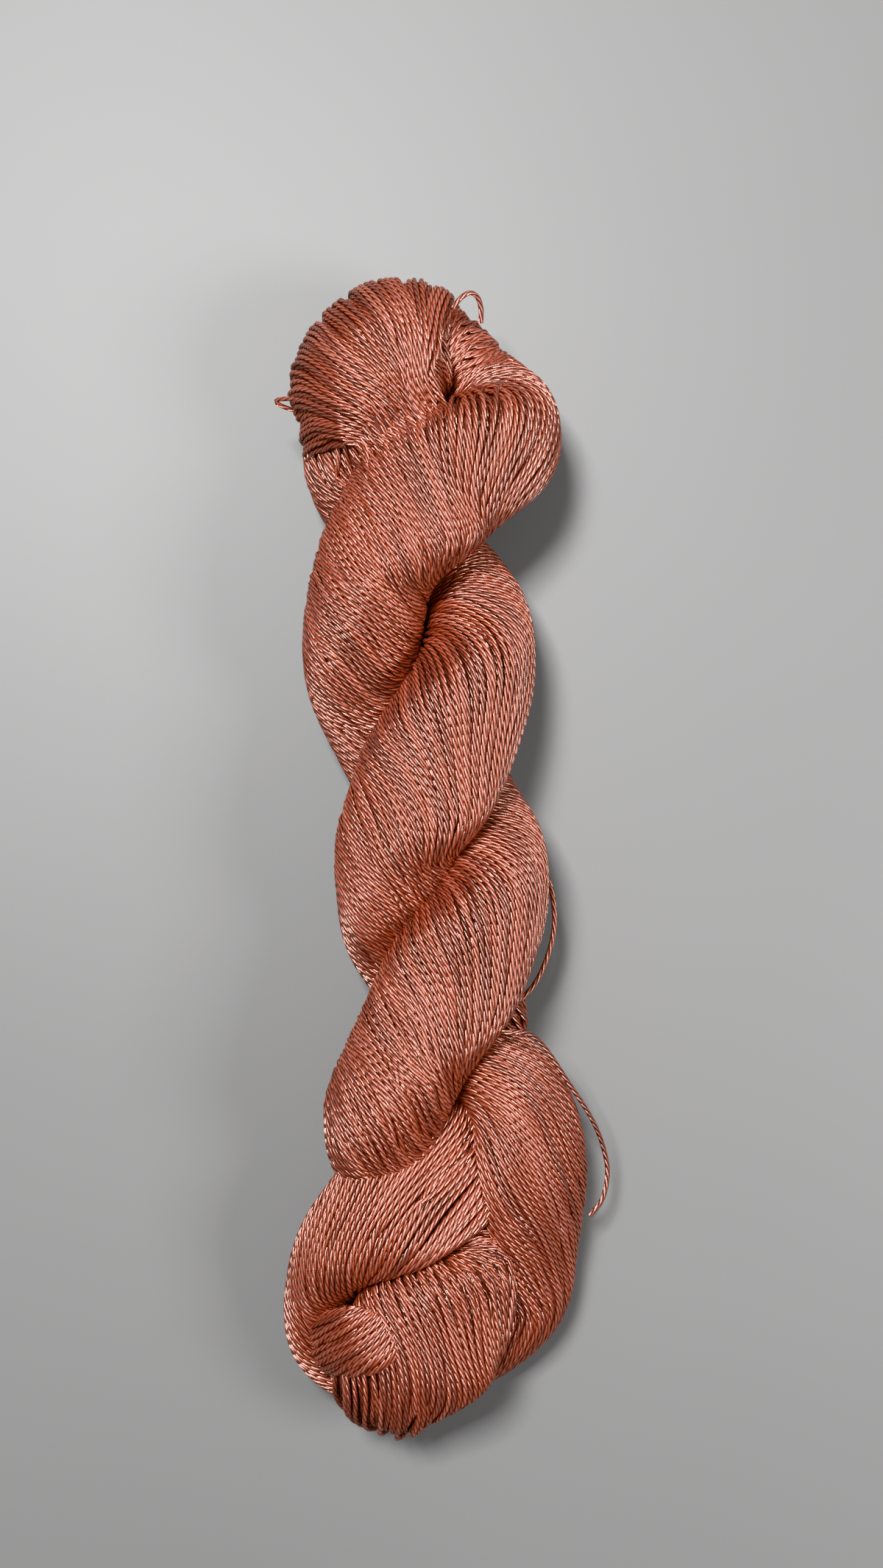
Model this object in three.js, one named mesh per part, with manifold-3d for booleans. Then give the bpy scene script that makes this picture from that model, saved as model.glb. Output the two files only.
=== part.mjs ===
// A skein of linen yarn, lying on a table. The hank is twisted tight and folded in half, so its two halves wrap
// round each other like a two-strand rope. The end of one half opens into a loop, and the end of the other half
// is tucked through that loop. The wound form is one solid: every turn of yarn lies against its neighbours.
//
// Millimetres. x runs across the skein, y along it with the fold at +y, and z up from the table.

import * as THREE from "three";
import { mergeVertices } from "three/addons/utils/BufferGeometryUtils.js";
import Module from "manifold-3d";

// Driving dimensions
const ROPE_HEIGHT = 20.5; // height of the rope's axis above the table
const STRAND_WIDE = 16; // half the width of a strand, measured round the rope
const STRAND_DEEP = 13; // half the thickness of a strand, measured out from the rope's axis
const FLATTENED = 0.15; // share of its height that the rope loses under its own weight
const SECTION_POWER = 2.5; // 2 is an ellipse, and more is a squarer section
const SECTION_POINTS = 20; // points round a strand
const SECTION_STEP = 4.5; // distance between sections along a strand
const BEND_LIMIT = 0.8; // share of a bend's radius that the inner side of a strand may fill
const BEND_REACH = 2; // sections on either side that a bend is measured over
const END_DOME = 0.5; // length of a strand's rounded end, as a share of half its thickness
const JOINT_DOME = 0.15; // the same where two lengths of one strand meet in the fold
const YARN_COLOUR = "#a15f4f";

// Every strand is a table with a row for each section where its course changes. The columns are the point
// (x, y, z) that the section is set from, the way that its outer side faces (facing turns from up towards +x,
// pitch tilts towards +y, in degrees), how far out its centre stands from the point, and half its width and
// half its thickness.
const COLUMNS = ["x", "y", "z", "facing", "pitch", "out", "wide", "deep"];

// A section on the rope: x and y place the rope's axis, and facing is how far the strand has gone round it.
function onRope(x, y, facing, out, wide = STRAND_WIDE, deep = STRAND_DEEP) {
  return [x, y, ROPE_HEIGHT, facing, 0, out, wide, deep];
}

// The looped half, from where its end opens into the loop, up behind the crossings, to the fold's front. It faces
// the rope's axis, for a smooth course over the fold, so its out is less than nothing.
const LOOPED_HALF = [
  // x, y, z, facing, pitch, out, wide, deep
  [6, -42, 16, -450, 0, -3, 12, 10],
  onRope(2, -28, -360, -11.5, 15, 12),
  onRope(1.5, -11, -270, -11.5, 15, 12.5),
  onRope(-1, 5.5, -220, -12.5, 14.5, 13.5),
  onRope(-2.5, 18.5, -175, -12.5),
  onRope(-4, 46, -90, -13),
  onRope(-5, 65.5, -20, -12.5, 14),
  [-8, 76, 13, -25, 0, 0, 15, 12],
  [-15, 88, 19, -45, 0, 0, 18, 14],
];

// The fold, where the hank spreads like a fan and goes over from its looped half to its tucked half.
const FOLD = [
  // x, y, z, facing, pitch, out, wide, deep
  [-14, 97, 25, -53, -5, 0, 19.5, 14.5],
  [-14.5, 105, 23.5, -67, 23, 0, 23, 17.5],
  [-11.5, 111, 17.5, -98, 56, 0, 23.5, 16.5],
  [-3.5, 111, 12.5, -180, 61, 0, 22, 13.5],
];

// The tucked half, from under the fold, down the right of the first crossing, to its end in the loop.
const TUCKED_HALF = [
  // x, y, z, facing, pitch, out, wide, deep
  [6, 107, 13, -225, 20, 0, 14, 11.5],
  onRope(1, 94.5, -278, 14, 15.5),
  onRope(-3, 81, -350, 13, 16.5),
  onRope(-4.5, 66, -402, 13.5, 15),
  onRope(-3.5, 45.5, -448, 13.5, 15, 13.5),
  onRope(-3.5, 21, -535, 12.5, 16, 12.5),
  onRope(0, -3.5, -630, 12, 15.5),
  onRope(1.5, -27, -712, 12.5, 15.5),
  onRope(1.5, -41, -755, 13, 14.5),
  onRope(1, -60, -800, 14),
  [-2.5, -77, 14, -880, 0, 3, 17, 12],
  [4, -91, 19, -970, 0, 4, 14, 11],
  [-2, -106, 20, -1070, 10, 6, 18, 11],
  [-10, -117, 16, -1110, -50, 4, 14, 10],
  [-11, -121, 9, -1150, -80, 3, 10, 8],
];

// The loop's two arms part under the last crossing and meet again under the tucked end.
const LOOP_RIGHT_ARM = [
  // x, y, z, facing, pitch, out, wide, deep
  [-7.5, -44.5, 12, 90, 30, 0, 10, 9],
  [6.5, -44.5, 19, 60, 40, 0, 11, 10],
  [19, -54, 23, 50, 20, 0, 15, 10],
  [26.5, -71.5, 18, 50, 0, 0, 15, 9.5],
  [25, -89.5, 14, 50, 0, 0, 12, 9],
  [20, -104, 11, 60, -20, 0, 11, 9],
  [6.5, -115, 9.5, 40, -50, 0, 10, 9],
  [-8, -119, 8.5, 0, -80, 0, 9, 8],
];
const LOOP_LEFT_ARM = [
  // x, y, z, facing, pitch, out, wide, deep
  [17.5, -54.5, 14, 0, 0, 0, 13, 8],
  [7.5, -65, 25, 0, 0, 0, 15, 8],
  [-8.5, -76, 28, -20, 10, 0, 16, 8],
  [-21.5, -87.5, 22, -45, 10, 0, 12, 9],
  [-27, -100, 14, -70, 0, 0, 9, 8],
  [-26.5, -111.5, 11, -80, -20, 0, 8, 8],
  [-19, -119, 9, -60, -60, 0, 8, 8],
  [-9, -121, 9, 0, -80, 0, 8, 8],
];

// The turns of the tucked end that lie over its left side and dip under the left arm.
const TUCKED_TUFT = [
  // x, y, z, facing, pitch, out, wide, deep
  [-1, -97, 24, 0, 0, 0, 5, 5],
  [-8.5, -103.5, 28, -10, 0, 0, 6, 5],
  [-16.5, -107, 28, -30, 0, 0, 8, 6],
  [-24, -110, 17, -70, 0, 0, 9, 6],
];

// The table's values at place, counted in rows, on a smooth curve through all its rows.
function rowAt(table, place) {
  const last = table.length - 1;
  const first = Math.min(Math.floor(place), last - 1);
  const share = place - first;
  const row = {};
  COLUMNS.forEach((name, column) => {
    const value = (shift) => table[THREE.MathUtils.clamp(first + shift, 0, last)][column];
    const [before, from, to, after] = [value(-1), value(0), value(1), value(2)];
    const bend = 2 * before - 5 * from + 4 * to - after;
    const swing = 3 * (from - to) + after - before;
    row[name] = from + 0.5 * share * (to - before + share * (bend + share * swing));
  });
  return row;
}

// Where a section's centre is and how large it is there, with the rope's flattening taken off.
function sectionAt(table, place) {
  const row = rowAt(table, place);
  const facing = THREE.MathUtils.degToRad(row.facing);
  const pitch = THREE.MathUtils.degToRad(row.pitch);
  const outer = new THREE.Vector3(
    Math.sin(facing) * Math.cos(pitch),
    Math.sin(pitch),
    Math.cos(facing) * Math.cos(pitch),
  );
  const upright = outer.z * outer.z;
  const depthShare = 1 - FLATTENED * upright;
  return {
    place,
    centre: new THREE.Vector3(row.x, row.y, row.z).addScaledVector(outer, row.out * depthShare),
    outer,
    deep: row.deep * depthShare,
    wide: row.wide * (1 - FLATTENED * (1 - upright)),
  };
}

// Sections a step apart all along a table's strand, each with its axes square to the strand's course. spin turns
// the ring of points so that its lines run along the strand and not round it with the outer side.
function sectionsAlong(table) {
  const fine = 40;
  const places = Array.from({ length: (table.length - 1) * fine + 1 }, (_, i) => i / fine);
  const centres = places.map((place) => sectionAt(table, place).centre);
  const run = [0];
  for (let i = 1; i < centres.length; i += 1) {
    run.push(run[i - 1] + centres[i].distanceTo(centres[i - 1]));
  }
  const total = run[run.length - 1];
  const count = Math.round(total / SECTION_STEP);
  const sections = [];
  let at = 0;
  for (let k = 0; k <= count; k += 1) {
    const goal = (total * k) / count;
    while (at < run.length - 2 && run[at + 1] < goal) {
      at += 1;
    }
    const share = (goal - run[at]) / (run[at + 1] - run[at]);
    sections.push(sectionAt(table, places[at] + share / fine));
  }
  const nearby = 0.1;
  const lastRow = table.length - 1;
  const carried = new THREE.Vector3();
  sections.forEach((section, k) => {
    const before = sectionAt(table, Math.max(section.place - nearby, 0)).centre;
    const after = sectionAt(table, Math.min(section.place + nearby, lastRow)).centre;
    section.along = after.sub(before).normalize();
    section.outer.addScaledVector(section.along, -section.outer.dot(section.along)).normalize();
    section.side = section.along.clone().cross(section.outer);
    if (k === 0) {
      carried.copy(section.outer);
    }
    carried.addScaledVector(section.along, -carried.dot(section.along)).normalize();
    section.spin = Math.atan2(carried.dot(section.side), carried.dot(section.outer));
  });
  sections.forEach((section, k) => {
    const before = sections[Math.max(k - BEND_REACH, 0)];
    const after = sections[Math.min(k + BEND_REACH, count)];
    const gap = before.centre.distanceTo(after.centre);
    section.bend = after.along.clone().sub(before.along).divideScalar(gap);
  });
  return sections;
}

// A ring of points round a section. size shrinks it and lift moves it along the strand, for a rounded end.
function ringOf(section, size, lift) {
  const ring = [];
  for (let i = 0; i < SECTION_POINTS; i += 1) {
    const angle = section.spin + (2 * Math.PI * i) / SECTION_POINTS;
    const outward = Math.cos(angle);
    const sideways = Math.sin(angle);
    const fill = (Math.abs(outward) ** SECTION_POWER + Math.abs(sideways) ** SECTION_POWER) ** (-1 / SECTION_POWER);
    const offset = new THREE.Vector3()
      .addScaledVector(section.outer, outward * fill * section.deep * size)
      .addScaledVector(section.side, sideways * fill * section.wide * size);
    const crowding = section.bend.dot(offset) / BEND_LIMIT;
    if (crowding > 0) {
      const kept = (1 + crowding ** 4) ** (-1 / 4);
      const pushed = (crowding * (kept - 1) * BEND_LIMIT) / section.bend.lengthSq();
      offset.addScaledVector(section.bend, pushed);
    }
    ring.push(offset.add(section.centre).addScaledVector(section.along, lift));
  }
  return ring;
}

// A closed strand with domed ends, lofted through its sections.
function strand(sections, firstDome = END_DOME, lastDome = END_DOME) {
  const domeSteps = [60, 30].map((angle) => THREE.MathUtils.degToRad(angle));
  const first = sections[0];
  const last = sections[sections.length - 1];
  const firstLift = -first.deep * firstDome;
  const lastLift = last.deep * lastDome;
  const rings = [
    ...domeSteps.map((angle) => ringOf(first, Math.cos(angle), firstLift * Math.sin(angle))),
    ...sections.map((section) => ringOf(section, 1, 0)),
    ...domeSteps.toReversed().map((angle) => ringOf(last, Math.cos(angle), lastLift * Math.sin(angle))),
  ];
  const points = rings.flat();
  const startTip = points.push(first.centre.clone().addScaledVector(first.along, firstLift)) - 1;
  const endTip = points.push(last.centre.clone().addScaledVector(last.along, lastLift)) - 1;
  const index = [];
  for (let i = 0; i < SECTION_POINTS; i += 1) {
    const next = (i + 1) % SECTION_POINTS;
    for (let k = 0; k < rings.length - 1; k += 1) {
      const near = k * SECTION_POINTS;
      const far = near + SECTION_POINTS;
      index.push(near + i, near + next, far + next, near + i, far + next, far + i);
    }
    const lastRing = (rings.length - 1) * SECTION_POINTS;
    index.push(startTip, next, i, endTip, lastRing + i, lastRing + next);
  }
  const geometry = new THREE.BufferGeometry().setFromPoints(points);
  geometry.setIndex(index);
  return geometry;
}

const wasm = await Module();
wasm.setup();

function solidOf(geometry) {
  geometry.deleteAttribute("normal");
  geometry.deleteAttribute("uv");
  const merged = mergeVertices(geometry, 1e-4);
  const mesh = new wasm.Mesh({
    numProp: 3,
    vertProperties: new Float32Array(merged.attributes.position.array),
    triVerts: new Uint32Array(merged.index.array),
  });
  return new wasm.Manifold(mesh);
}

// The outer skin alone: the small hollows that the strands close in between them are filled with yarn.
function outerSkin(solid) {
  const { vertProperties, triVerts, numProp } = solid.getMesh();
  const owner = Array.from({ length: vertProperties.length / numProp }, (_, i) => i);
  const ownerOf = (i) => {
    while (owner[i] !== i) {
      owner[i] = owner[owner[i]];
      i = owner[i];
    }
    return i;
  };
  for (let t = 0; t < triVerts.length; t += 3) {
    owner[ownerOf(triVerts[t])] = ownerOf(triVerts[t + 1]);
    owner[ownerOf(triVerts[t + 1])] = ownerOf(triVerts[t + 2]);
  }
  const skins = new Map();
  for (let t = 0; t < triVerts.length; t += 3) {
    const name = ownerOf(triVerts[t]);
    if (!skins.has(name)) {
      skins.set(name, []);
    }
    skins.get(name).push(triVerts[t], triVerts[t + 1], triVerts[t + 2]);
  }
  const largest = [...skins.values()].sort((a, b) => b.length - a.length)[0];
  const geometry = new THREE.BufferGeometry();
  geometry.setAttribute("position", new THREE.BufferAttribute(new Float32Array(vertProperties), numProp));
  geometry.setIndex(largest);
  return mergeVertices(geometry.toNonIndexed(), 1e-4);
}

// What reaches below the table is pressed flat there.
function tableBlock() {
  const block = new THREE.BoxGeometry(400, 600, 40);
  block.translate(0, 0, -20);
  return solidOf(block);
}

function hank() {
  const sections = sectionsAlong([...LOOPED_HALF, ...FOLD, ...TUCKED_HALF]);
  const middleOfFold = LOOPED_HALF.length + (FOLD.length - 1) / 2;
  const middle = sections.findIndex((section) => section.place >= middleOfFold);
  const strands = [
    strand(sections.slice(0, middle + 1), END_DOME, JOINT_DOME),
    strand(sections.slice(middle), JOINT_DOME, END_DOME),
    strand(sectionsAlong(LOOP_RIGHT_ARM)),
    strand(sectionsAlong(LOOP_LEFT_ARM)),
    strand(sectionsAlong(TUCKED_TUFT)),
  ];
  const wound = strands.map(solidOf).reduce((all, one) => all.add(one));
  const geometry = outerSkin(wound.subtract(tableBlock()));
  geometry.computeBoundingBox();
  const box = geometry.boundingBox;
  geometry.translate(-(box.min.x + box.max.x) / 2, -(box.min.y + box.max.y) / 2, -box.min.z);
  geometry.computeVertexNormals();
  return geometry;
}

const yarn = new THREE.MeshStandardMaterial({ color: YARN_COLOUR, roughness: 0.7, metalness: 0 });
const skein = new THREE.Group();
const hankMesh = new THREE.Mesh(hank(), yarn);
hankMesh.name = "hank";
skein.add(hankMesh);

export default skein;
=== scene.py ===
"""A skein of linen yarn on a pale table, seen from straight above.

The hank is twisted tight and folded in half, so that its two halves wrap round each other like a two-strand
rope. The end of one half opens into a loop, and the end of the other half is tucked through it. The turns of
yarn on its outside are made here, round nearly the same courses as the solid's strands.
"""

import math

import bpy
import numpy as np
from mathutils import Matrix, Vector
from mathutils.bvhtree import BVHTree


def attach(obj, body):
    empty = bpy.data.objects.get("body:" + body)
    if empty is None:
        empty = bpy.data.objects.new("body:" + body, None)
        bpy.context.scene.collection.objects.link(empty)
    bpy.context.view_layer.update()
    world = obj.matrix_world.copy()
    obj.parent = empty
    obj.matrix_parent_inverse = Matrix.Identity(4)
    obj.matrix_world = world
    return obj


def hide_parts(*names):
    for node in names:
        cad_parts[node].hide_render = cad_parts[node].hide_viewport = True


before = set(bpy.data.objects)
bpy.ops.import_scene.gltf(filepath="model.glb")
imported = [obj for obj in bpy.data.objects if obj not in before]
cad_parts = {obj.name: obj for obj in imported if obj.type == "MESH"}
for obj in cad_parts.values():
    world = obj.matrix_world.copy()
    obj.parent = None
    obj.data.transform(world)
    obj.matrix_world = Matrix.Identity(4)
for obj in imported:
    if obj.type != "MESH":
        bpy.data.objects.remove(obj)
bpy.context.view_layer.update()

MM = 0.001
SKEIN_SHIFT = np.array([-1.298, 1.374, 0.0])  # from the courses' own origin to the middle of the skein's box

# Sizes of the strands, in millimetres
ROPE_HEIGHT = 20.5  # height of the rope's axis above the table
STRAND_WIDE = 16  # half the width of a strand, measured round the rope
STRAND_DEEP = 13  # half the thickness of a strand, measured out from the rope's axis
FLATTENED = 0.15  # share of its height that the rope loses under its own weight
SECTION_POWER = 2.5  # 2 is an ellipse, and more is a squarer section
BEND_LIMIT = 0.8  # share of a bend's radius that the inner side of a strand may fill
BEND_REACH = 9  # length on either side that a bend is measured over
FINE_STEPS = 40  # steps from one point of a course to the next, to measure its length in

# Sizes of the yarn, in millimetres
YARN_WIDTH = 1.2
THREAD_WIDTH = 1.12  # the yarn's own width, a little less than the room that it takes
YARN_STEP = 1.2  # distance between the rings of a yarn's tube
LEAN = -0.6  # how much more steeply the yarn crosses one side of a strand than the other
YARN_SIDES = 6
PLIES = 3
PLY_LAY = 7.0  # length in which a ply goes once round the yarn
PLY_SHIFT = 57  # the plies of each turn start this far along, times its tint, so that they don't line up
SLACK_STEP = 0.8  # distance between the rings of a slack turn's tube
INNER_SINK = 0.9  # how far the turns painted darker as shade lie under the outer ones

# Yarn that is further than this from the solid's surface can't be seen, and is cut away, in millimetres
BURIED = 3.6
INNER_BURIED = 4.4
INNER_SPARE = 0.7  # what the turns of an arm painted darker as shade are given more than its outer ones
FAN_BURIED = 5.0
SLACK_BURIED = 50  # slack turns stand off the skein, so none of them is cut away

# How many turns of yarn show round each part of the hank
HANK_TURNS = 84
HANK_PIECES = 3  # the turns are shared among this many pieces of equal size
INNER_TURNS = 66
INNER_FEWER = 14  # an arm has this many fewer turns painted darker as shade than outer ones
FAN_TURNS = 110

# Outer turns have tints from 0 to 1, and the inner ones, painted darker as shade, from this value upwards,
# over a shorter range
INNER_SHADE_TINT = -0.5
INNER_SHADE_TINT_RANGE = 0.3

# How turns settle side by side, round by round
CLOSENESS = 0.97  # share of the yarn's width that the middles of two turns keep apart
PUSH = 0.3  # share of an overlap that one round takes away
EASE = 0.2  # how far one round draws a point towards those before and after it
DEPTH_KEPT = 0.99  # share of its depth that a turn keeps in one round

# Places on the whole hank, counted in rows of its table
FAN_COVERS = (8.0, 12.0)  # the fan lies over the strand between these
COVER_FADE = 0.6  # length of table over which the cover comes and goes
TWIST_LOST = (7, 8.5)  # the yarn's lean fades between these, on the way into the fold
TWIST_FOUND = (12, 13.5)  # and it comes back between these
RAGGED_FROM = 25.5  # from here to the tucked end the turns lie at uneven depths
RAGGED_FADE = 0.8  # length of table over which they become uneven
RAGGED_DEPTHS = (-1.5, 1.2)  # least and most of what is added to their depths, in millimetres

# Sizes of the inside of the hank, painted dark as shade, in millimetres
CORE_DEPTH = 2.4  # how far it lies under the strands' surface
CORE_STEP = 3.0  # distance between its rings
CORE_CORNERS = 28  # points in a ring
CORE_FLOOR = 0.5  # height above the table that it keeps

CAMERA_PLACE = (-0.47, 17.47, 420.0)  # in millimetres
LONG_SIDE_VIEW = 47.7  # degrees that the photo's long side spans
AROUND_LIGHT = 0.2  # strength of the even light from all sides


def on_rope(x, y, facing, out, turn, wide=STRAND_WIDE, deep=STRAND_DEEP):
    """A section on the rope: x and y place its axis, and facing is how far round it the strand has gone."""
    return (x, y, ROPE_HEIGHT, facing, 0, out, wide, deep, turn)


# Courses of the strands. Each row is a section: the point that it is set from, the way that its outer side
# faces (facing turns from up towards +x, pitch tilts towards +y, in degrees), how far out its centre stands
# from the point, half its width and half its thickness, and the turn that the yarn takes round the strand
# since the row before it, in degrees.
WHOLE_HANK = [
    # x, y, z, facing, pitch, out, wide, deep, turn: the looped half, from its end up to the fold
    (6, -42, 16, -450, 0, -3, 12, 10, 0),
    on_rope(2, -28, -360, -11.5, -250, 15, 12),
    on_rope(1.5, -11, -270, -11.5, -260, 15, 12.5),
    on_rope(-1, 5.5, -220, -12.5, -200, 14.5, 13.5),
    on_rope(-2.5, 18.5, -175, -12.5, -130),
    on_rope(-4, 46, -90, -13, -120),
    on_rope(-5, 65.5, -20, -12.5, -120, 14),
    (-8, 76, 13, -25, 0, 0, 15, 12, -110),
    (-15, 88, 19, -45, 0, 0, 18, 14, -110),
    # the fold, spread like a fan
    (-14, 97, 25, -53, -5, 0, 19.5, 14.5, -80),
    (-14.5, 105, 23.5, -67, 23, 0, 23, 17.5, -60),
    (-11.5, 111, 17.5, -98, 56, 0, 23.5, 16.5, -50),
    (-3.5, 111, 12.5, -180, 61, 0, 22, 13.5, -80),
    # the tucked half, from under the fold to its end in the loop
    (6, 107, 13, -225, 20, 0, 14, 11.5, -200),
    on_rope(1, 94.5, -278, 14, -70, 15.5),
    on_rope(-3, 81, -350, 13, -150, 16.5),
    on_rope(-4.5, 66, -402, 13.5, -210, 15),
    on_rope(-3.5, 45.5, -448, 13.5, -290, 15, 13.5),
    on_rope(-3.5, 21, -535, 12.5, -280, 16, 12.5),
    on_rope(0, -3.5, -630, 12, -160, 15.5),
    on_rope(1.5, -27, -712, 12.5, -130, 15.5),
    on_rope(1.5, -41, -755, 13, -110, 14.5),
    on_rope(1, -60, -800, 14, -320),
    (-2.5, -77, 14, -880, 0, 3, 17, 12, -180),
    (4, -91, 19, -970, 0, 4, 14, 11, -110),
    (-2, -106, 20, -1070, 10, 6, 18, 11, -280),
    (-10, -117, 16, -1110, -50, 4, 14, 10, -60),
    (-11, -121, 9, -1150, -80, 3, 10, 8, -20),
]

LOOP_RIGHT_ARM = [
    # x, y, z, facing, pitch, out, wide, deep, turn
    (-7.5, -44.5, 12, 90, 30, 0, 10, 9, 0),
    (6.5, -44.5, 19, 60, 40, 0, 11, 10, -60),
    (17.5, -54, 23, 50, 20, 0, 14, 10, -45),
    (21.5, -71.5, 21, 50, 0, 0, 17, 9.5, -30),
    (22, -89.5, 15, 50, 0, 0, 13, 9, -45),
    (20, -104, 11, 60, -20, 0, 11, 9, -25),
    (6.5, -115, 9.5, 40, -50, 0, 10, 9, -70),
    (-8, -119, 8.5, 0, -80, 0, 9, 8, -20),
]

LOOP_LEFT_ARM = [
    # x, y, z, facing, pitch, out, wide, deep, turn
    (17.5, -54.5, 12, 0, 0, 0, 13, 8, 0),
    (7.5, -65, 22, 0, 0, 0, 15, 8, -30),
    (-8.5, -76, 28, -20, 10, 0, 16, 8, -30),
    (-21.5, -87.5, 22, -45, 10, 0, 12, 9, -80),
    (-27, -100, 14, -70, 0, 0, 9, 8, -90),
    (-26.5, -111.5, 11, -80, -20, 0, 8, 8, -60),
    (-19, -119, 9, -60, -60, 0, 8, 8, -20),
    (-9, -121, 9, 0, -80, 0, 8, 8, -20),
]

TUCKED_TUFT = [
    # x, y, z, facing, pitch, out, wide, deep, turn
    (-1, -97, 24, 0, 0, 0, 5, 5, 0),
    (-8.5, -103.5, 28, -10, 0, 0, 6, 5, -60),
    (-16.5, -107, 28, -30, 0, 0, 8, 6, -60),
    (-24, -110, 17, -70, 0, 0, 9, 6, -40),
]

# The turns that show on the fold spread like a fan from the pinch between the halves. Each row is one of
# them, seen from above: five points in x and y, from the pinch out to the edge of the fold.
FAN_LINES = [
    ((-19.6, 84.6), (-22.2, 85.8), (-24.8, 87.0), (-27.4, 88.1), (-30.0, 89.2)),
    ((-17.6, 87.4), (-20.7, 88.9), (-23.9, 90.7), (-27.2, 92.4), (-30.6, 94.2)),
    ((-13.4, 88.0), (-16.9, 90.8), (-21.1, 93.9), (-25.5, 97.5), (-31.1, 102.8)),
    ((-11.1, 89.9), (-15.0, 93.3), (-19.8, 97.9), (-25.5, 103.2), (-32.6, 109.6)),
    ((-9.0, 91.2), (-13.1, 95.9), (-18.2, 101.1), (-24.5, 107.2), (-32.4, 114.5)),
    ((-6.9, 92.3), (-10.3, 97.8), (-15.0, 103.4), (-20.8, 110.3), (-28.4, 118.5)),
    ((-5.5, 93.1), (-7.9, 99.4), (-11.9, 105.8), (-16.8, 114.0), (-24.0, 122.8)),
    ((-4.4, 93.6), (-5.8, 100.9), (-8.7, 108.2), (-12.8, 116.4), (-18.7, 126.3)),
    ((-3.5, 93.9), (-3.9, 100.9), (-5.5, 108.2), (-8.0, 117.2), (-13.1, 128.1)),
    ((-2.8, 94.4), (-2.3, 100.9), (-2.7, 109.0), (-4.3, 118.0), (-7.4, 129.2)),
    ((-2.3, 95.0), (-1.1, 100.9), (-0.8, 109.0), (-1.1, 118.0), (-2.1, 127.6)),
    ((-1.9, 96.0), (0.4, 102.5), (0.8, 109.8), (1.5, 117.2), (2.5, 126.4)),
    ((-0.4, 97.1), (2.1, 102.5), (3.4, 108.2), (4.3, 114.8), (6.1, 123.6)),
]
FAN_STATIONS = 64  # points along each of the fan's turns
FAN_EDGE_HEIGHT = 20  # height of the fold's outer edge above the table
FAN_ABOVE = 24  # the search for the surface starts this far above the edge
FAN_BELOW = 18  # and ends this far below it
FAN_WRAP = 0.86  # share of a half circle that a turn goes round the edge
FAN_REACH_POWER = 0.8  # less than 1 brings a turn out from the pinch sooner
FAN_EASE = 0.3  # how far one round of smoothing draws a point towards those beside it
FAN_LAYERS = 5  # where the turns crowd, they lie in this many layers
FAN_LAYER_DEPTH = 1.1
FAN_RISE = 1.2  # how far the fan's turns stand above those next to them
FAN_START_DEPTH = 1.0  # how far they lie under the surface at the pinch that they come from
COVERED_SINK = 1.1  # how much deeper the turns of the strand lie where the fan covers them

# Creases where one bundle of turns dips under the next, seen from above: points in x and y
CREASES = [
    [(-27, 75.6), (-21.2, 82.3), (-17.9, 89), (-13.7, 92.3), (-7.9, 95.1), (-2.9, 96.5), (1.2, 99.5)],
    [(4.9, 124), (2.4, 119), (2.1, 112.3), (0.8, 104), (-1.5, 97.5)],
]
CREASE_DEPTH = 1.8
CREASE_REACH = 2.4  # distance from the middle of a crease at which it is about a third as deep
CREASE_STEP = 0.7  # distance between the spots that a crease is measured from
CREASE_HEIGHTS = (20, 27)  # nothing below the first height is pressed, and all above the second is

# Turns that have slipped and stand off the skein: points in x, y and z
SLACK_TURNS = [
    [(3.2, 121.5, 27), (5.2, 123.9, 27), (7.2, 125.1, 26.5), (8.9, 124.3, 25.5), (9.7, 121.8, 24),
     (9.5, 118.5, 23)],
    [(-19, 97.6, 39), (-23, 99, 37), (-27, 100.2, 33), (-31.5, 101.7, 26), (-35.6, 102.4, 22),
     (-36.2, 101.7, 21.5), (-34, 100.8, 20.5), (-30, 99.8, 19)],
    [(23.6, -2, 15), (25.8, -8, 16), (26.5, -15, 17), (25.2, -22, 18), (21.5, -29.5, 20), (15.5, -34, 23),
     (7.5, -36, 26)],
    [(10.7, -36.5, 33.5), (15, -37.8, 35), (19.8, -38.3, 33.5), (24, -42.5, 29.5), (29.2, -50.6, 25),
     (34, -58.2, 20), (37.3, -65.4, 15), (39, -72.8, 12), (37.9, -79.2, 12), (34.6, -83.6, 12)],
]


def unit(vectors):
    return vectors / np.linalg.norm(vectors, axis=-1, keepdims=True)


def run_along(points):
    """The length from the first of the points to each of them, along the line through them."""
    return np.concatenate([[0], np.cumsum(np.linalg.norm(np.diff(points, axis=0), axis=1))])


def smooth_rows(rows, places):
    """The columns of the rows at each place, counted in rows, on a smooth curve through all of them."""
    table = np.array(rows, float)
    table[:, -1] = np.cumsum(table[:, -1])
    last = len(table) - 1
    first = np.clip(np.floor(places).astype(int), 0, last - 1)
    share = (places - first)[:, None]
    before, start, end, after = (table[np.clip(first + shift, 0, last)] for shift in (-1, 0, 1, 2))
    bend = 2 * before - 5 * start + 4 * end - after
    swing = 3 * (start - end) + after - before
    return start + 0.5 * share * (end - before + share * (bend + share * swing))


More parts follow.
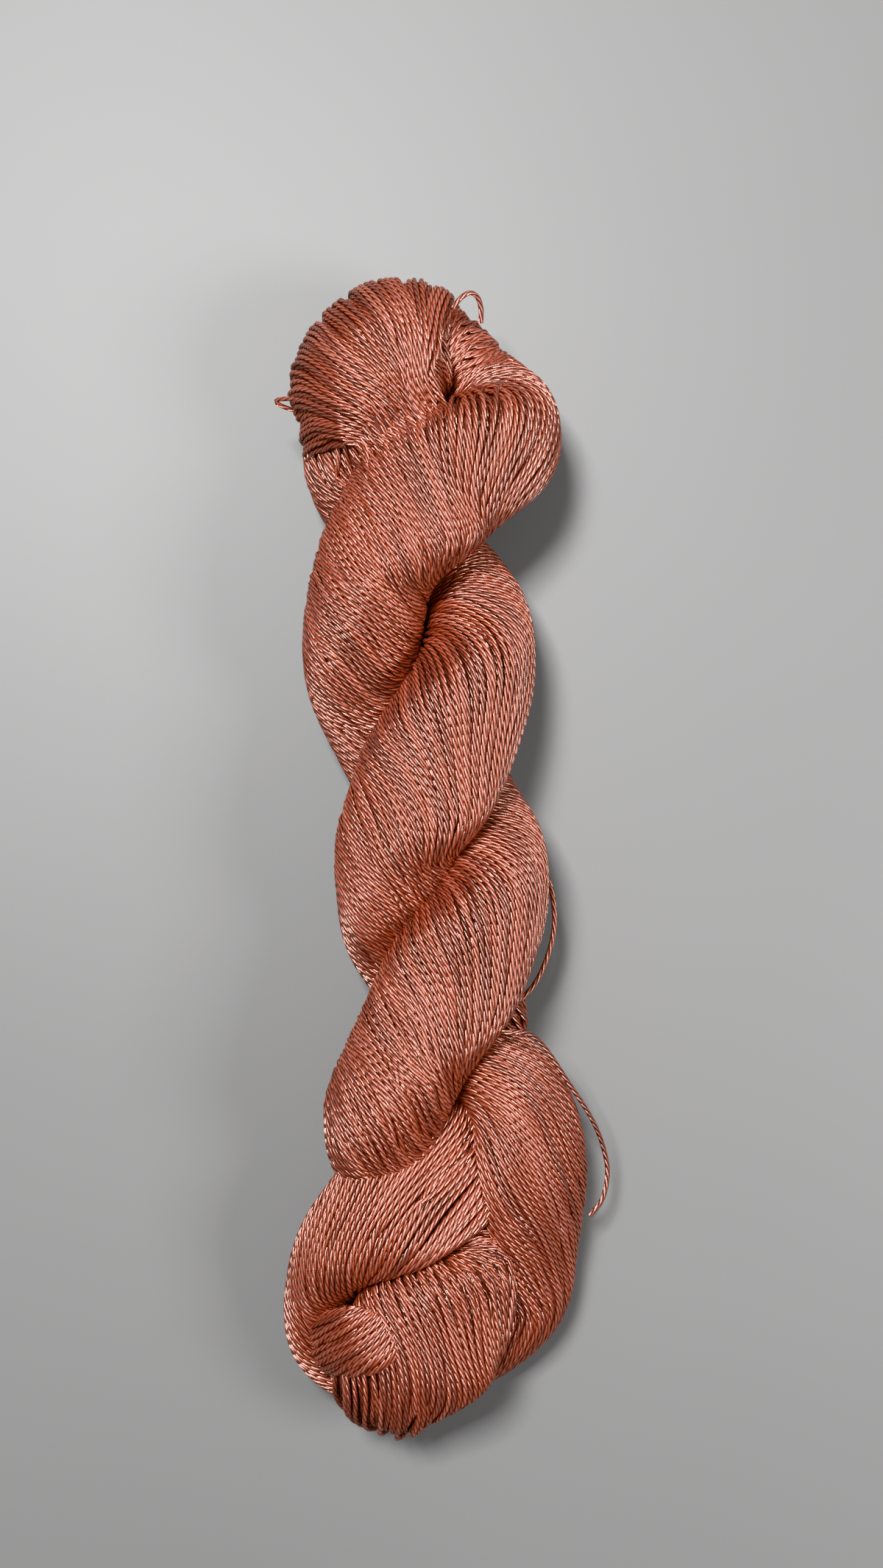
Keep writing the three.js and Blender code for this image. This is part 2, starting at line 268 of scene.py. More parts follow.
def course_of(rows, step=YARN_STEP):
    """Sections a step apart along a strand: centres, axes square to its course, sizes, turn and bend."""

    def at(places):
        x, y, z, facing, pitch, out, wide, deep, turn = smooth_rows(rows, places).T
        facing, pitch = np.radians(facing), np.radians(pitch)
        outer = np.stack([np.sin(facing) * np.cos(pitch), np.sin(pitch), np.cos(facing) * np.cos(pitch)], 1)
        upright = outer[:, 2] ** 2
        depth_share = 1 - FLATTENED * upright
        centre = np.stack([x, y, z], 1) + outer * (out * depth_share)[:, None]
        return centre, outer, wide * (1 - FLATTENED * (1 - upright)), deep * depth_share, np.radians(turn)

    last = len(rows) - 1
    nudge = 0.1  # of a row, to find which way the strand runs
    fine = np.linspace(0, last, last * FINE_STEPS + 1)
    centres = at(fine)[0]
    run = run_along(centres)
    count = int(round(run[-1] / step))
    places = np.interp(np.linspace(0, run[-1], count + 1), run, fine)
    centre, outer, wide, deep, turn = at(places)
    along = unit(at(np.minimum(places + nudge, last))[0] - at(np.maximum(places - nudge, 0))[0])
    outer = unit(outer - along * (outer * along).sum(1, keepdims=True))
    side = np.cross(along, outer)
    reach = max(1, round(BEND_REACH / step))
    number = np.arange(count + 1)
    ahead, behind = np.minimum(number + reach, count), np.maximum(number - reach, 0)
    gap = np.linalg.norm(centre[ahead] - centre[behind], axis=1, keepdims=True)
    bend = (along[ahead] - along[behind]) / gap
    return {
        "centre": centre, "outer": outer, "side": side, "wide": wide, "deep": deep,
        "turn": turn, "bend": bend, "places": places, "lean": np.zeros(count + 1),
    }


def points_round(course, angles, depths):
    """Points at angles round a course's sections and at depths under its surface, one row for each line."""
    half = angles / 2
    leaning = course["lean"] * np.cos(half) + np.sqrt(1 - course["lean"] ** 2) * np.sin(half)
    angles = 2 * np.arctan2(leaning, np.cos(half))
    flatness = (course["wide"] - course["deep"]) / (course["wide"] + course["deep"])
    angles = angles - 0.5 * flatness * np.sin(2 * angles)
    cosine, sine = np.cos(angles), np.sin(angles)
    fill = (np.abs(cosine) ** SECTION_POWER + np.abs(sine) ** SECTION_POWER) ** (-1 / SECTION_POWER)
    outward = (course["deep"] - depths) * cosine * fill
    sideways = (course["wide"] - depths) * sine * fill
    offset = outward[..., None] * course["outer"] + sideways[..., None] * course["side"]
    # On the inner side of a bend, the points are held short of the bend's own centre.
    crowding = np.maximum((offset * course["bend"]).sum(-1) / BEND_LIMIT, 0)
    kept = (1 + crowding**4) ** -0.25
    softness = np.maximum((course["bend"] ** 2).sum(-1), 1e-9)
    pushed = crowding * (kept - 1) * BEND_LIMIT / softness
    return course["centre"] + offset + pushed[..., None] * course["bend"]


# Turns of yarn


def wander(random, lines, stations, step, wave, size):
    """A slow random drift of each line along its length, of about the given wave length and size."""
    knots = max(4, int(stations * step / wave) + 3)
    values = random.standard_normal((lines, knots)) * size
    place = np.linspace(0, knots - 1.001, stations)
    first = place.astype(int)
    share = place - first
    share = share * share * (3 - 2 * share)
    return values[:, first] * (1 - share) + values[:, first + 1] * share


def settle(angles, depths, spacing, round_trip=2 * math.pi, deepest=2.2, rounds=70):
    """Lets the turns push each other apart until they lie side by side, and the crowded ones sink below."""
    for _ in range(rounds):
        for apart in (1, 2, 3):
            across = np.roll(angles, -apart, 0) - angles
            across[-apart:] += round_trip
            across = across * spacing
            down = np.roll(depths, -apart, 0) - depths
            distance = np.maximum(np.hypot(across, down), 1e-4)
            overlap = np.maximum(YARN_WIDTH * CLOSENESS - distance, 0) * PUSH
            slide = overlap * across / distance / spacing
            sink = overlap * down / distance
            angles = angles - slide + np.roll(slide, apart, 0)
            depths = depths - sink + np.roll(sink, apart, 0)
        angles[:, 1:-1] += EASE * (angles[:, :-2] + angles[:, 2:] - 2 * angles[:, 1:-1])
        depths[:, 1:-1] += EASE * (depths[:, :-2] + depths[:, 2:] - 2 * depths[:, 1:-1])
        depths = np.clip(depths * DEPTH_KEPT, 0, deepest)
    return angles, depths


def smooth_step(values, start, end):
    share = np.clip((values - start) / (end - start), 0, 1)
    return share * share * (3 - 2 * share)


def lay_turns(rows, turns, seed, under=None, sunk=0.0, ragged=None):
    """The middle lines of a strand's outer turns of yarn, as an array of lines of points in millimetres.

    The turns lie deeper between the two places of under, where the fan covers them, and sunk lowers all of
    them. A strand with such a stretch is twisted tight on both sides of it, so its turns lean there and not
    in between. From the place ragged on, the turns lie at uneven depths.
    """
    random = np.random.default_rng(seed)
    course = course_of(rows)
    places = course["places"]
    if under:
        untwisted = smooth_step(places, *TWIST_LOST) * smooth_step(places, *reversed(TWIST_FOUND))
        course["lean"] = LEAN * (1 - untwisted)
    stations = len(places)
    pitch = 2 * math.pi / turns
    angles = np.arange(turns)[:, None] * pitch + course["turn"][None, :]
    angles = angles + wander(random, turns, stations, YARN_STEP, wave=45, size=0.55 * pitch)
    depths = np.abs(wander(random, turns, stations, YARN_STEP, wave=30, size=0.35))
    level = YARN_WIDTH / 2 + sunk
    if under:
        start, end = under
        covered = smooth_step(places, start, start + COVER_FADE)
        covered = covered * smooth_step(places, end + COVER_FADE, end)
        level = level + COVERED_SINK * covered
    if ragged:
        uneven = random.uniform(*RAGGED_DEPTHS, (turns, 1))
        level = level + uneven * smooth_step(places, ragged, ragged + RAGGED_FADE)
    lines = points_round(course, angles, level + depths)
    # The spacing is how many millimetres of the section a radian of the angles is, and 2 at least.
    small_turn = 0.02
    heading = unit(np.gradient(lines, axis=1))
    nearby = points_round(course, angles + small_turn, level + depths) - lines
    nearby = nearby - heading * (nearby * heading).sum(-1, keepdims=True)
    spacing = np.maximum(np.linalg.norm(nearby, axis=-1) / small_turn, 2.0)
    angles, depths = settle(angles, depths, spacing)
    lines = points_round(course, angles, level + depths)
    lines[..., 2] = np.maximum(lines[..., 2], YARN_WIDTH / 2)
    return lines


def skein_surface():
    """The solid skein's surface, in millimetres from the courses' origin, to find the nearest point on."""
    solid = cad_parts["hank"]
    points = [Vector(np.array(solid.matrix_world @ v.co) / MM - SKEIN_SHIFT) for v in solid.data.vertices]
    return BVHTree.FromPolygons(points, [tuple(face.vertices) for face in solid.data.polygons])


def lay_fan(seed):
    """The turns on the fold: each runs from the pinch out over the top, round the edge and back below."""
    random = np.random.default_rng(seed)
    guides = np.array(FAN_LINES)
    edge = run_along(guides[:, -1])
    share = np.interp(np.linspace(0, edge[-1], FAN_TURNS), edge, np.arange(len(guides)))
    guide_points = guides.shape[1]
    turn = np.linspace(0, FAN_WRAP, FAN_STATIONS) * math.pi
    reach = np.sin(turn) ** FAN_REACH_POWER * (guide_points - 1)
    level = np.cos(turn)
    surface = skein_surface()
    base = np.zeros((FAN_TURNS, FAN_STATIONS, 3))
    inward = np.zeros((FAN_TURNS, FAN_STATIONS, 3))
    columns = [smooth_curve(guides[:, k], share) for k in range(guide_points)]
    for j in range(FAN_TURNS):
        line = np.array([column[j] for column in columns])
        plan = smooth_curve(line, reach)
        for k in range(FAN_STATIONS):
            height = FAN_EDGE_HEIGHT + level[k] * (FAN_ABOVE if level[k] > 0 else FAN_BELOW)
            spot, normal, _, _ = surface.find_nearest(Vector((*plan[k], height)))
            base[j, k] = spot
            inward[j, k] = -normal
    for _ in range(4):
        for field in (base, inward):
            field[:, 1:-1] += FAN_EASE * (field[:, :-2] + field[:, 2:] - 2 * field[:, 1:-1])
            field[1:-1] += FAN_EASE * (field[:-2] + field[2:] - 2 * field[1:-1])
    inward = unit(inward)
    heading = unit(np.gradient(base, axis=1))
    nearby = np.gradient(base, axis=0)
    nearby = nearby - heading * (nearby * heading).sum(-1, keepdims=True)
    spacing = np.maximum(np.linalg.norm(nearby, axis=-1), 0.1)
    drift = wander(random, FAN_TURNS, FAN_STATIONS, YARN_STEP, wave=25, size=0.3)
    number = np.arange(FAN_TURNS)[:, None] + drift
    layer = random.integers(0, FAN_LAYERS, (FAN_TURNS, 1))
    crowded = np.clip(1 - spacing / YARN_WIDTH, 0, 1)
    drift = wander(random, FAN_TURNS, FAN_STATIONS, YARN_STEP, wave=20, size=0.25)
    depths = layer * crowded * FAN_LAYER_DEPTH + np.abs(drift)
    number, depths = settle(number, depths, spacing, round_trip=1e3, deepest=4.5, rounds=40)
    number = np.clip(number, 0, FAN_TURNS - 1.001)
    first = number.astype(int)
    part = (number - first)[..., None]
    column = np.arange(FAN_STATIONS)[None, :]
    on_surface = base[first, column] * (1 - part) + base[first + 1, column] * part
    # The fan rises over its first and last few turns, and each turn comes up out of the pinch.
    side = np.arange(FAN_TURNS)[:, None] / FAN_TURNS
    rise = FAN_RISE * smooth_step(side, 0, 0.06) * smooth_step(side, 1.0, 0.93)
    rise = rise * smooth_step(turn, 0.1, 0.7) - FAN_START_DEPTH * smooth_step(turn, 0.42, 0.05)
    lines = on_surface + inward * (YARN_WIDTH / 2 - rise + depths)[..., None]
    lines[..., 2] = np.maximum(lines[..., 2], YARN_WIDTH / 2)
    return lines


def smooth_curve(points, places):
    """The points at each place, counted in points, on a smooth curve through all of them."""
    return smooth_rows(np.hstack([points, np.zeros((len(points), 1))]), np.asarray(places, float))[:, :-1]


def even_path(points, step=YARN_STEP):
    """A smooth curve through the points, cut into even steps."""
    points = np.array(points, float)
    fine = np.linspace(0, len(points) - 1, len(points) * FINE_STEPS)
    curve = smooth_curve(points, fine)
    run = run_along(curve)
    return smooth_curve(points, np.interp(np.arange(0, run[-1], step), run, fine))


def press_creases(lines):
    """The lines with their upper stretches lowered along the creases."""
    pressed = np.array(lines)
    for crease in CREASES:
        path = even_path([(x, y, 0) for x, y in crease], CREASE_STEP)[:, :2]
        gap = np.full(pressed.shape[:2], np.inf)
        for spot in path:
            gap = np.minimum(gap, np.linalg.norm(pressed[..., :2] - spot, axis=-1))
        upper = smooth_step(pressed[..., 2], *CREASE_HEIGHTS)
        pressed[..., 2] -= CREASE_DEPTH * upper * np.exp(-((gap / CREASE_REACH) ** 2))
    return pressed


# Yarn spun along the turns, in geometry nodes


def add_node(tree, kind, place, **settings):
    node = tree.nodes.new(kind)
    node.location = place
    for name, value in settings.items():
        setattr(node, name, value)
    return node


def link(tree, start, output, end, slot):
    tree.links.new(start.outputs[output], end.inputs[slot])


def spun_yarn_tree():
    """Nodes that turn lines into yarn: buried lengths go, and a round tube follows what is left."""
    tree = bpy.data.node_groups.new("Spun yarn", "GeometryNodeTree")
    sockets = tree.interface
    sockets.new_socket("Turns", in_out="INPUT", socket_type="NodeSocketGeometry")
    sockets.new_socket("Yarn Width", in_out="INPUT", socket_type="NodeSocketFloat")
    sockets.new_socket("Sides", in_out="INPUT", socket_type="NodeSocketInt")
    sockets.new_socket("Buried Depth", in_out="INPUT", socket_type="NodeSocketFloat")
    sockets.new_socket("Skein Surface", in_out="INPUT", socket_type="NodeSocketObject")
    sockets.new_socket("Yarn Finish", in_out="INPUT", socket_type="NodeSocketMaterial")
    sockets.new_socket("Yarn", in_out="OUTPUT", socket_type="NodeSocketGeometry")

    given = add_node(tree, "NodeGroupInput", (-1200, 0))
    made = add_node(tree, "NodeGroupOutput", (1200, 0))
    surface = add_node(tree, "GeometryNodeObjectInfo", (-1000, -300))
    to_surface = add_node(tree, "GeometryNodeProximity", (-800, -300), target_element="FACES")
    too_deep = add_node(
        tree, "FunctionNodeCompare", (-600, -200), data_type="FLOAT", operation="GREATER_THAN"
    )
    drop = add_node(tree, "GeometryNodeDeleteGeometry", (-400, 0), domain="POINT")
    paths = add_node(tree, "GeometryNodeMeshToCurve", (-200, 0))
    half = add_node(tree, "ShaderNodeMath", (-600, -500), operation="MULTIPLY")
    half.inputs[1].default_value = 0.5
    ring = add_node(tree, "GeometryNodeCurvePrimitiveCircle", (-400, -400), mode="RADIUS")
    place = add_node(tree, "GeometryNodeSplineParameter", (-600, -700))
    full_turn = add_node(tree, "ShaderNodeMath", (-400, -700), operation="MULTIPLY")
    full_turn.inputs[1].default_value = 2 * math.pi
    cosine = add_node(tree, "ShaderNodeMath", (-200, -600), operation="COSINE")
    sine = add_node(tree, "ShaderNodeMath", (-200, -800), operation="SINE")
    around = add_node(tree, "ShaderNodeCombineXYZ", (0, -700))
    keep_around = add_node(
        tree, "GeometryNodeStoreNamedAttribute", (200, -400), data_type="FLOAT_VECTOR", domain="POINT"
    )
    keep_around.inputs["Name"].default_value = "around"
    sweep = add_node(tree, "GeometryNodeCurveToMesh", (400, 0))
    sweep.inputs["Fill Caps"].default_value = True
    smooth = add_node(tree, "GeometryNodeSetShadeSmooth", (600, 0))
    real = add_node(tree, "GeometryNodeRealizeInstances", (800, 0))
    finish = add_node(tree, "GeometryNodeSetMaterial", (1000, 0))

    link(tree, given, "Skein Surface", surface, "Object")
    link(tree, surface, "Geometry", to_surface, 0)
    link(tree, to_surface, "Distance", too_deep, 0)
    link(tree, given, "Buried Depth", too_deep, 1)
    link(tree, given, "Turns", drop, "Geometry")
    link(tree, too_deep, "Result", drop, "Selection")
    link(tree, drop, "Geometry", paths, "Mesh")
    link(tree, given, "Yarn Width", half, 0)
    link(tree, given, "Sides", ring, "Resolution")
    link(tree, half, "Value", ring, "Radius")
    link(tree, place, "Factor", full_turn, 0)
    link(tree, full_turn, "Value", cosine, 0)
    link(tree, full_turn, "Value", sine, 0)
    link(tree, cosine, "Value", around, "X")
    link(tree, sine, "Value", around, "Y")
    link(tree, ring, "Curve", keep_around, "Geometry")
    link(tree, around, "Vector", keep_around, "Value")
    link(tree, paths, "Curve", sweep, "Curve")
    link(tree, keep_around, "Geometry", sweep, "Profile Curve")
    link(tree, sweep, "Mesh", smooth, "Geometry")
    link(tree, smooth, "Geometry", real, "Geometry")
    link(tree, real, "Geometry", finish, "Geometry")
    link(tree, given, "Yarn Finish", finish, "Material")
    link(tree, finish, "Geometry", made, "Yarn")
    return tree


def socket_of(tree, name):
    return next(
        item.identifier for item in tree.interface.items_tree if item.name == name and item.in_out == "INPUT"
    )


def line_mesh(name, lines, tints_and_shades):
    """A mesh of edges along the lines, with the length run and a tint kept at every point, which on the
    inner turns paints shade.
    """
    mesh = bpy.data.meshes.new(name)
    points = np.concatenate(lines)
    counts = [len(line) for line in lines]
    starts = np.concatenate([[0], np.cumsum(counts)[:-1]])
    edges = np.concatenate(
        [np.stack([np.arange(n - 1), np.arange(1, n)], 1) + start for n, start in zip(counts, starts)]
    )
    mesh.vertices.add(len(points))
    mesh.vertices.foreach_set("co", ((points + SKEIN_SHIFT) * MM).astype(np.float32).ravel())
    mesh.edges.add(len(edges))
    mesh.edges.foreach_set("vertices", edges.astype(np.int32).ravel())
    run = np.concatenate([run_along(line) + PLY_SHIFT * tint_and_shade for line, tint_and_shade in zip(lines, tints_and_shades)])
    mesh.attributes.new("run", "FLOAT", "POINT").data.foreach_set("value", run.astype(np.float32))
    tint_and_shade = np.repeat(np.asarray(tints_and_shades, np.float32), counts)
    mesh.attributes.new("tint_and_shade", "FLOAT", "POINT").data.foreach_set("value", tint_and_shade)
    mesh.update()
    return mesh


def spin_yarn(name, lines, tints_and_shades, tree, finish, buried):
    """One piece of yarn, swept along the lines."""
    guide = bpy.data.objects.new(name + "_lines", line_mesh(name + "_lines", lines, tints_and_shades))
    bpy.context.scene.collection.objects.link(guide)
    nodes = guide.modifiers.new("Spun yarn", "NODES")
    nodes.node_group = tree
    nodes[socket_of(tree, "Yarn Width")] = THREAD_WIDTH * MM
    nodes[socket_of(tree, "Sides")] = YARN_SIDES
    nodes[socket_of(tree, "Buried Depth")] = buried * MM
    nodes[socket_of(tree, "Skein Surface")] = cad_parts["hank"]
    nodes[socket_of(tree, "Yarn Finish")] = finish
    graph = bpy.context.evaluated_depsgraph_get()
    mesh = bpy.data.meshes.new_from_object(
        guide.evaluated_get(graph), preserve_all_data_layers=True, depsgraph=graph
    )
    mesh.name = name
    bpy.data.objects.remove(guide)
    piece = bpy.data.objects.new(name, mesh)
    bpy.context.scene.collection.objects.link(piece)
    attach(piece, "root")


# The inside of the hank


def hank_core(finish):
    """The inside of the hank, painted dark as shade where it shows between its turns: the strands' own form,
    a little smaller.
    """
    corners = CORE_CORNERS
    vertices, faces = [], []
    for rows in (WHOLE_HANK, LOOP_RIGHT_ARM, LOOP_LEFT_ARM):
        course = course_of(rows, CORE_STEP)
        angles = np.linspace(0, 2 * math.pi, corners, endpoint=False)[:, None] + course["turn"][None, :]
        skin = press_creases(points_round(course, angles, CORE_DEPTH).transpose(1, 0, 2))
        skin[..., 2] = np.maximum(skin[..., 2], CORE_FLOOR)
        base = sum(len(part) for part in vertices)
        length = len(skin)
        vertices.append(skin.reshape(-1, 3))
        for k in range(length - 1):
            for i in range(corners):
                near, far = base + k * corners, base + (k + 1) * corners
                j = (i + 1) % corners
                faces.append((near + i, near + j, far + j, far + i))
        faces.append(tuple(base + i for i in reversed(range(corners))))
        faces.append(tuple(base + (length - 1) * corners + i for i in range(corners)))
    points = (np.concatenate(vertices) + SKEIN_SHIFT) * MM
    mesh = bpy.data.meshes.new("hank_core")
    mesh.from_pydata(points.tolist(), [], faces)
    mesh.polygons.foreach_set("use_smooth", [True] * len(mesh.polygons))
    mesh.materials.append(finish)
    piece = bpy.data.objects.new("hank_core", mesh)
    bpy.context.scene.collection.objects.link(piece)
    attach(piece, "root")
    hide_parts("hank")


# Finishes, with colours in linear light. Each row is a place on a ramp and the colour there.
# Dyes of the yarn; the two darkest stops serve mostly the inner turns, as painted shade
YARN_DYES_AND_SHADE = (
    (0.1, (0.07, 0.013, 0.008, 1)),
    (0.3, (0.16, 0.038, 0.026, 1)),
    (0.5, (0.25, 0.052, 0.028, 1)),
    (0.75, (0.32, 0.093, 0.064, 1)),
)
# Painted shade: the hank's inside is the same yarn, made dark for the shade between its turns
CORE_SHADE_TONES = ((0, (0.05, 0.014, 0.010, 1)), (1, (0.12, 0.035, 0.022, 1)))
TABLE_TONES = ((0, (0.148, 0.147, 0.146, 1)), (1, (0.163, 0.162, 0.161, 1)))
SHEEN_TINT = (1.0, 0.66, 0.56, 1)

# Scales of the noise in the finishes: more is finer
FIBRE_SCALE = 2600
BLOTCH_SCALE = 90
CORE_SCALE = 900
TABLE_SCALE = 6

GROOVE_EDGE = 0.8  # height on a ply above which its colour is painted fully lit
GROOVE_SHADE = 0.15  # share of the dye's lightness that is left between two plies, as painted shade
PLY_TOP_HIGHLIGHT = 1.2  # and the share on top of a ply, above 1 as a painted highlight
FIBRE_HEIGHT = 0.15  # height of the fibres, where a ply's is 1
PLY_RELIEF = 0.35  # how far the bump lifts a ply, in millimetres


def new_finish(name):
    finish = bpy.data.materials.new(name)
    finish.use_nodes = True
    return finish, finish.node_tree, finish.node_tree.nodes["Principled BSDF"]


def add_noise(tree, place, scale, detail=2):
    """Noise that stays where it is on a piece."""
    coordinates = add_node(tree, "ShaderNodeTexCoord", (place[0] - 200, place[1]))
    noise = add_node(tree, "ShaderNodeTexNoise", place, noise_dimensions="3D")
    noise.inputs["Scale"].default_value = scale
    noise.inputs["Detail"].default_value = detail
    link(tree, coordinates, "Object", noise, "Vector")
    return noise


def add_ramp(tree, place, rows):
    """A ramp through the colours of the rows, which are in the order of their places on it."""
    ramp = add_node(tree, "ShaderNodeValToRGB", place)
    stops = ramp.color_ramp.elements
    for stop, (position, colour) in zip(stops, (rows[0], rows[-1])):
        stop.position = position
        stop.color = colour
    for position, colour in rows[1:-1]:
        stops.new(position).color = colour
    return ramp


def yarn_finish():
    """Dyed linen yarn: plies wind round it with painted shade in the grooves between them and a painted
    highlight on their tops, and each turn has its own tint, darker as painted shade on the inner turns.
    """
    finish, tree, skin = new_finish("Linen yarn")
    around = add_node(tree, "ShaderNodeAttribute", (-1600, 0), attribute_name="around")
    run = add_node(tree, "ShaderNodeAttribute", (-1600, -200), attribute_name="run")
    tint_and_shade = add_node(tree, "ShaderNodeAttribute", (-1600, -400), attribute_name="tint_and_shade")
    parts = add_node(tree, "ShaderNodeSeparateXYZ", (-1400, 0))
    angle = add_node(tree, "ShaderNodeMath", (-1200, 0), operation="ARCTAN2")
    plies = add_node(tree, "ShaderNodeMath", (-1000, 0), operation="MULTIPLY")
    plies.inputs[1].default_value = PLIES / 2
    wind = add_node(tree, "ShaderNodeMath", (-1200, -200), operation="MULTIPLY")
    wind.inputs[1].default_value = PLIES * math.pi / PLY_LAY
    phase = add_node(tree, "ShaderNodeMath", (-800, 0), operation="ADD")
    wave = add_node(tree, "ShaderNodeMath", (-600, 0), operation="COSINE")
    ridge = add_node(tree, "ShaderNodeMath", (-400, 0), operation="ABSOLUTE")
    link(tree, around, "Vector", parts, 0)
    link(tree, parts, "Y", angle, 0)
    link(tree, parts, "X", angle, 1)
    link(tree, angle, 0, plies, 0)
    link(tree, run, "Fac", wind, 0)
    link(tree, plies, 0, phase, 0)
    link(tree, wind, 0, phase, 1)
    link(tree, phase, 0, wave, 0)
    link(tree, wave, 0, ridge, 0)

    fibres = add_noise(tree, (-1000, -600), FIBRE_SCALE)
    blotches = add_noise(tree, (-1000, -900), BLOTCH_SCALE, detail=3)
    shade = add_node(tree, "ShaderNodeMath", (-800, -400), operation="ADD")
    link(tree, tint_and_shade, "Fac", shade, 0)
    link(tree, blotches, "Fac", shade, 1)
    halved = add_node(tree, "ShaderNodeMath", (-600, -400), operation="MULTIPLY")
    halved.inputs[1].default_value = 0.5
    link(tree, shade, 0, halved, 0)
    # the ramp gives each outer turn its dye and paints the inner turns darker as shade
    dye_and_shade = add_ramp(tree, (-400, -400), YARN_DYES_AND_SHADE)
    link(tree, halved, 0, dye_and_shade, "Fac")
    # Painted shade in the grooves between plies, and a painted highlight on their tops
    painted_ply_light = add_node(tree, "ShaderNodeMapRange", (-200, 0))
    painted_ply_light.inputs["From Min"].default_value = 0.0
    painted_ply_light.inputs["From Max"].default_value = GROOVE_EDGE
    painted_ply_light.inputs["To Min"].default_value = GROOVE_SHADE
    painted_ply_light.inputs["To Max"].default_value = PLY_TOP_HIGHLIGHT
    link(tree, ridge, 0, painted_ply_light, "Value")
    coloured = add_node(tree, "ShaderNodeMix", (0, -200), data_type="RGBA", blend_type="MULTIPLY")
    coloured.inputs[0].default_value = 1.0
    link(tree, dye_and_shade, "Color", coloured, 6)
    link(tree, painted_ply_light, "Result", coloured, 7)
    link(tree, coloured, 2, skin, "Base Color")

    height = add_node(tree, "ShaderNodeMath", (-200, -600), operation="MULTIPLY_ADD")
    height.inputs[1].default_value = FIBRE_HEIGHT
    link(tree, fibres, "Fac", height, 0)
    link(tree, ridge, 0, height, 2)
    bump = add_node(tree, "ShaderNodeBump", (0, -600))
    bump.inputs["Strength"].default_value = 1.0
    bump.inputs["Distance"].default_value = PLY_RELIEF * MM
    link(tree, height, 0, bump, "Height")
    link(tree, bump, "Normal", skin, "Normal")
    skin.inputs["Roughness"].default_value = 0.36
    skin.inputs["IOR"].default_value = 2.2
    skin.inputs["Specular IOR Level"].default_value = 1.0
    skin.inputs["Specular Tint"].default_value = SHEEN_TINT
    return finish


def matt_finish(name, scale, colours, roughness):
    """A finish without relief, that drifts between two colours."""
    finish, tree, skin = new_finish(name)
    noise = add_noise(tree, (-600, 0), scale)
    tone = add_ramp(tree, (-400, 0), colours)
    link(tree, noise, "Fac", tone, "Fac")
    link(tree, tone, "Color", skin, "Base Color")
    skin.inputs["Roughness"].default_value = roughness
    return finish


# Camera, table and light


def set_camera():
    lens = bpy.data.cameras.new("camera")
    lens.sensor_fit = "VERTICAL"
    lens.angle = math.radians(LONG_SIDE_VIEW)
    lens.clip_start = 0.01
    lens.clip_end = 10
    camera = bpy.data.objects.new("camera", lens)
    camera.location = Vector(CAMERA_PLACE) * MM
    bpy.context.scene.collection.objects.link(camera)
    bpy.context.scene.camera = camera


def area_light(name, place, size, power):
    """A square white light that faces the middle of the skein, with its place and size in metres."""
    lamp = bpy.data.lights.new(name, "AREA")
    lamp.shape = "SQUARE"
    lamp.size = size
    lamp.energy = power
    light = bpy.data.objects.new(name, lamp)
    light.location = place
    light.rotation_euler = (-Vector(place)).to_track_quat("-Z", "Y").to_euler()
    bpy.context.scene.collection.objects.link(light)


def set_table_and_light():
    mesh = bpy.data.meshes.new("tabletop")
    half = 1.5  # half its side, in metres
    corners = [(-half, -half, 0), (half, -half, 0), (half, half, 0), (-half, half, 0)]
    mesh.from_pydata(corners, [], [(0, 1, 2, 3)])
    mesh.materials.append(matt_finish("Pale tabletop", TABLE_SCALE, TABLE_TONES, roughness=0.55))
    tabletop = bpy.data.objects.new("tabletop", mesh)
    bpy.context.scene.collection.objects.link(tabletop)
    world = bpy.data.worlds.new("soft studio")
    world.use_nodes = True
    world.node_tree.nodes["Background"].inputs["Color"].default_value = (1, 1, 1, 1)
    world.node_tree.nodes["Background"].inputs["Strength"].default_value = AROUND_LIGHT
    bpy.context.scene.world = world
    bpy.context.scene.view_settings.view_transform = "Khronos PBR Neutral"
    area_light("overhead softbox", place=(-0.2, 0.35, 0.9), size=0.22, power=19)
    area_light("side softbox", place=(0.6, -0.1, 0.6), size=0.3, power=6)


# The skein on its table

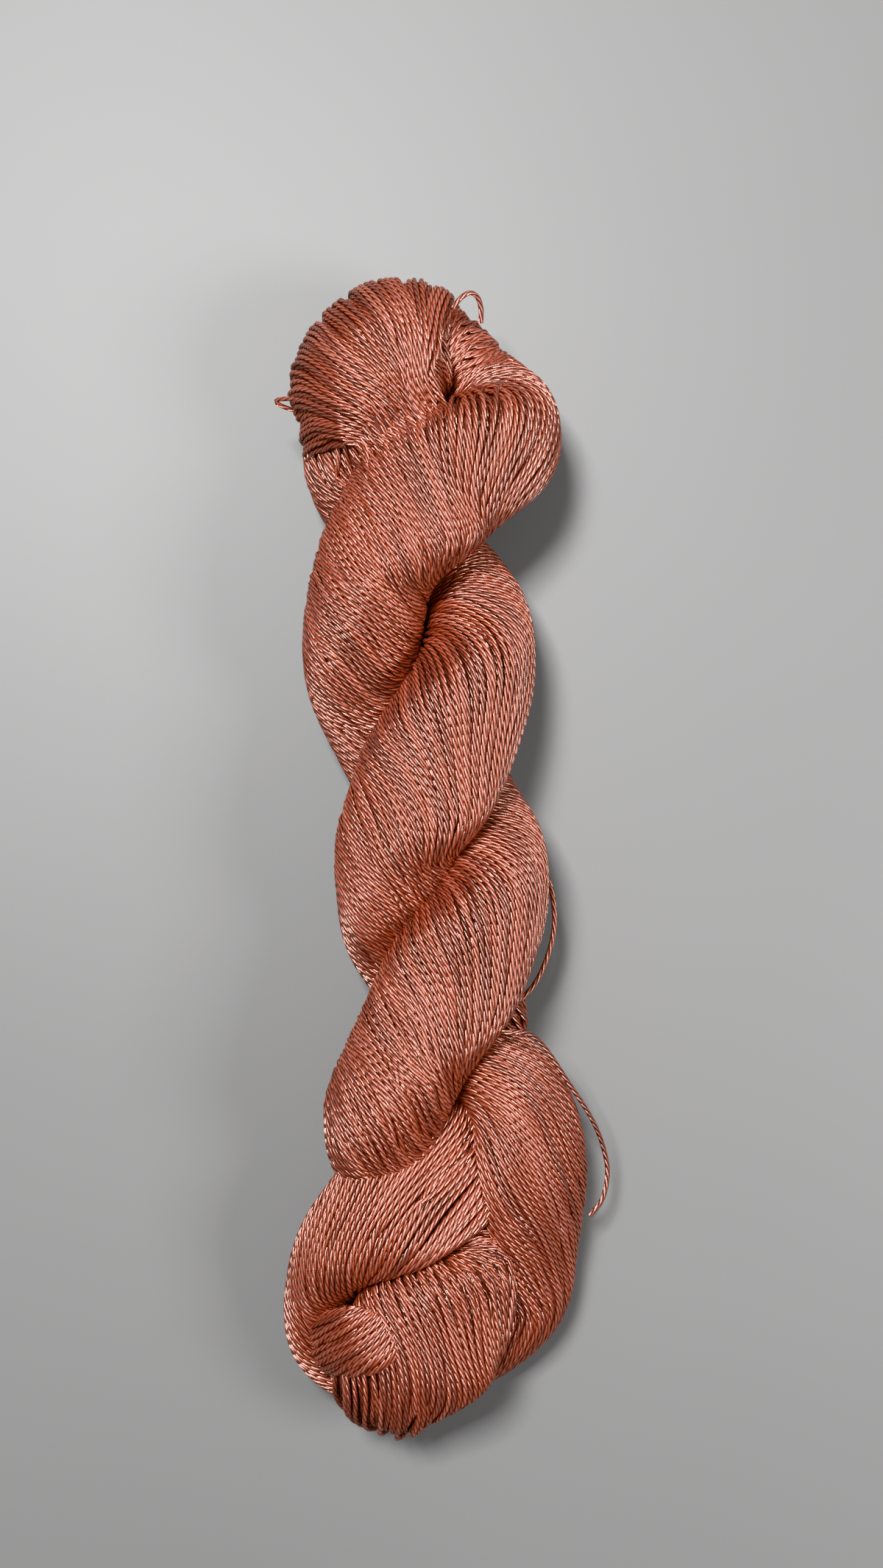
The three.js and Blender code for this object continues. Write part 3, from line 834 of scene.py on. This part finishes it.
set_camera()
set_table_and_light()

linen = yarn_finish()
hank_core(matt_finish("Shaded inner yarn", CORE_SCALE, CORE_SHADE_TONES, roughness=0.9))
yarn_tree = spun_yarn_tree()
tint_and_shade_draws = np.random.default_rng(11)


def spin_outer(name, lines, buried):
    """Yarn along the lines, each of a tint of its own."""
    spin_yarn(name, list(lines), tint_and_shade_draws.random(len(lines)), yarn_tree, linen, buried)


def spin_inner(name, lines, buried):
    """Yarn along the lines painted darker as shade, in longer steps, for turns that show in the gaps of the
    outer ones.
    """
    # low tints, which paint these turns darker as shade
    tints_and_shades = tint_and_shade_draws.random(len(lines)) * INNER_SHADE_TINT_RANGE + INNER_SHADE_TINT
    spin_yarn(name, list(lines[:, ::2]), tints_and_shades, yarn_tree, linen, buried)


hank_lines = press_creases(lay_turns(WHOLE_HANK, HANK_TURNS, seed=1, under=FAN_COVERS, ragged=RAGGED_FROM))
for group, lines in enumerate(np.split(hank_lines, HANK_PIECES)):
    spin_outer(f"hank_turns_{group + 1}", lines, BURIED)
inner_lines = press_creases(lay_turns(WHOLE_HANK, INNER_TURNS, seed=8, under=FAN_COVERS, sunk=INNER_SINK))
spin_inner("inner_turns", inner_lines, INNER_BURIED)
spin_outer("fan_turns", press_creases(lay_fan(seed=5)), FAN_BURIED)

for name, rows, turns, seed, inner_seed, buried in (
    # name, course, turns, seeds of the outer turns and of the turns painted darker as shade, and the buried
    # depth of the outer ones
    ("loop_right", LOOP_RIGHT_ARM, 74, 2, 22, 6.0),
    ("loop_left", LOOP_LEFT_ARM, 66, 3, 23, 4.5),
    ("tucked_tuft", TUCKED_TUFT, 44, 4, 24, BURIED),
):
    spin_outer(name + "_turns", lay_turns(rows, turns, seed), buried)
    inner_lines = lay_turns(rows, turns - INNER_FEWER, inner_seed, sunk=INNER_SINK)
    spin_inner(name + "_inner_turns", inner_lines, buried + INNER_SPARE)
spin_outer("slack_turns", [even_path(points, SLACK_STEP) for points in SLACK_TURNS], SLACK_BURIED)
